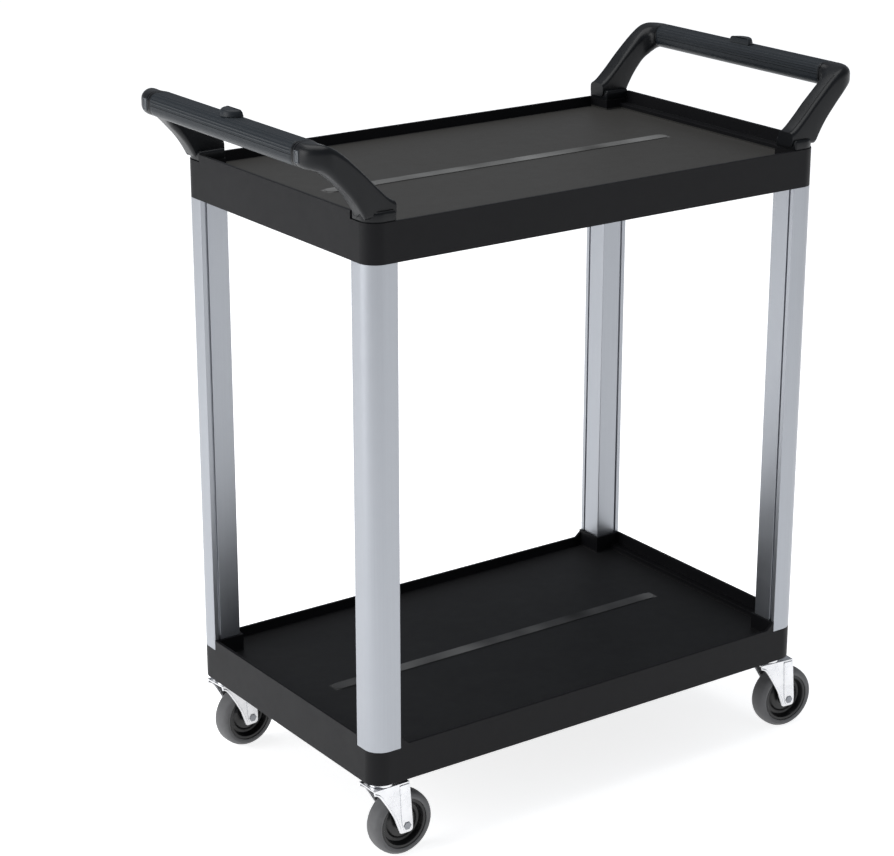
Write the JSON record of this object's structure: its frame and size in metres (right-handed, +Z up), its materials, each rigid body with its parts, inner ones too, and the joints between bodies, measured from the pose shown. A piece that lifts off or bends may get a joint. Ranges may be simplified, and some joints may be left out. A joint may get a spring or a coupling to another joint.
{
  "type": "two-tier food service trolley",
  "caption": "Two-tier service trolley: moulded trays on hollow aluminium corner posts, a push handle at each end and swivel casters under the corners.",
  "frame": {"origin": "on the floor, under the middle of the trolley", "axes": "+X along the trolley towards one handle, +Y across it, +Z up"},
  "size_m": [0.845, 0.43, 0.94],
  "materials": {
    "tray_plastic": "satin moulded polypropylene",
    "handle_plastic": "fine satin moulded polypropylene",
    "grip_plastic": "satin with fine lengthwise ribs",
    "grip_lower_plastic": "smooth satin",
    "clip_plastic": "satin",
    "tab_plastic": "smooth",
    "post_aluminium": "satin anodised",
    "zinc_plate": "bright zinc plated pressed steel",
    "steel": "zinc plated",
    "socket_plastic": "moulded nylon",
    "hub_plastic": "semi-gloss moulded",
    "tyre_rubber": "soft grey rubber"
  },
  "bodies": {
    "frame": {"upper_tray": "tray_plastic", "lower_tray": "tray_plastic", "post_front_left": "post_aluminium", "post_front_right": "post_aluminium", "post_rear_left": "post_aluminium", "post_rear_right": "post_aluminium", "handle_left": "handle_plastic", "handle_right": "handle_plastic", "grip_top_left": "grip_plastic", "grip_bottom_left": "grip_lower_plastic", "grip_top_right": "grip_plastic", "grip_bottom_right": "grip_lower_plastic", "grip_clip_left": "clip_plastic", "grip_clip_right": "clip_plastic", "snap_tabs_left": "tab_plastic", "snap_tabs_right": "tab_plastic", "handle_screws": "steel", "caster_socket_front_left": "socket_plastic", "caster_socket_front_right": "socket_plastic", "caster_socket_rear_left": "socket_plastic", "caster_socket_rear_right": "socket_plastic", "caster_stem_front_left": "zinc_plate", "caster_stem_front_right": "zinc_plate", "caster_stem_rear_left": "zinc_plate", "caster_stem_rear_right": "zinc_plate"},
    "swivel_front_left": {"fork_front_left": "zinc_plate", "axle_bolt_front_left": "steel", "axle_nut_front_left": "steel", "wheel_bush_front_left": "steel", "swivel_bearing_front_left": "steel"},
    "wheel_front_left": {"hub_front_left": "hub_plastic", "tyre_front_left": "tyre_rubber"},
    "swivel_front_right": {"fork_front_right": "zinc_plate", "axle_bolt_front_right": "steel", "axle_nut_front_right": "steel", "wheel_bush_front_right": "steel", "swivel_bearing_front_right": "steel"},
    "wheel_front_right": {"hub_front_right": "hub_plastic", "tyre_front_right": "tyre_rubber"},
    "swivel_rear_left": {"fork_rear_left": "zinc_plate", "axle_bolt_rear_left": "steel", "axle_nut_rear_left": "steel", "wheel_bush_rear_left": "steel", "swivel_bearing_rear_left": "steel"},
    "wheel_rear_left": {"hub_rear_left": "hub_plastic", "tyre_rear_left": "tyre_rubber"},
    "swivel_rear_right": {"fork_rear_right": "zinc_plate", "axle_bolt_rear_right": "steel", "axle_nut_rear_right": "steel", "wheel_bush_rear_right": "steel", "swivel_bearing_rear_right": "steel"},
    "wheel_rear_right": {"hub_rear_right": "hub_plastic", "tyre_rear_right": "tyre_rubber"}
  },
  "joints": [
    {"name": "swivel_front_left", "type": "hinge", "parent": "frame", "child": "swivel_front_left", "pos_m": [-0.324, -0.189, 0.1], "axis": [0, 0, 1], "continuous": true},
    {"name": "roll_front_left", "type": "hinge", "parent": "swivel_front_left", "child": "wheel_front_left", "pos_m": [-0.297, -0.189, 0.044], "axis": [0, -1, 0], "continuous": true},
    {"name": "swivel_front_right", "type": "hinge", "parent": "frame", "child": "swivel_front_right", "pos_m": [0.324, -0.189, 0.1], "axis": [0, 0, 1], "continuous": true},
    {"name": "roll_front_right", "type": "hinge", "parent": "swivel_front_right", "child": "wheel_front_right", "pos_m": [0.35085, -0.19182, 0.044], "axis": [-0.1045, -0.9945, 0], "continuous": true},
    {"name": "swivel_rear_left", "type": "hinge", "parent": "frame", "child": "swivel_rear_left", "pos_m": [-0.324, 0.189, 0.1], "axis": [0, 0, 1], "continuous": true},
    {"name": "roll_rear_left", "type": "hinge", "parent": "swivel_rear_left", "child": "wheel_rear_left", "pos_m": [-0.2971, 0.19135, 0.044], "axis": [0.0872, -0.9962, 0], "continuous": true},
    {"name": "swivel_rear_right", "type": "hinge", "parent": "frame", "child": "swivel_rear_right", "pos_m": [0.324, 0.189, 0.1], "axis": [0, 0, 1], "continuous": true},
    {"name": "roll_rear_right", "type": "hinge", "parent": "swivel_rear_right", "child": "wheel_rear_right", "pos_m": [0.3502, 0.18247, 0.044], "axis": [-0.2419, -0.9703, 0], "continuous": true}
  ]
}
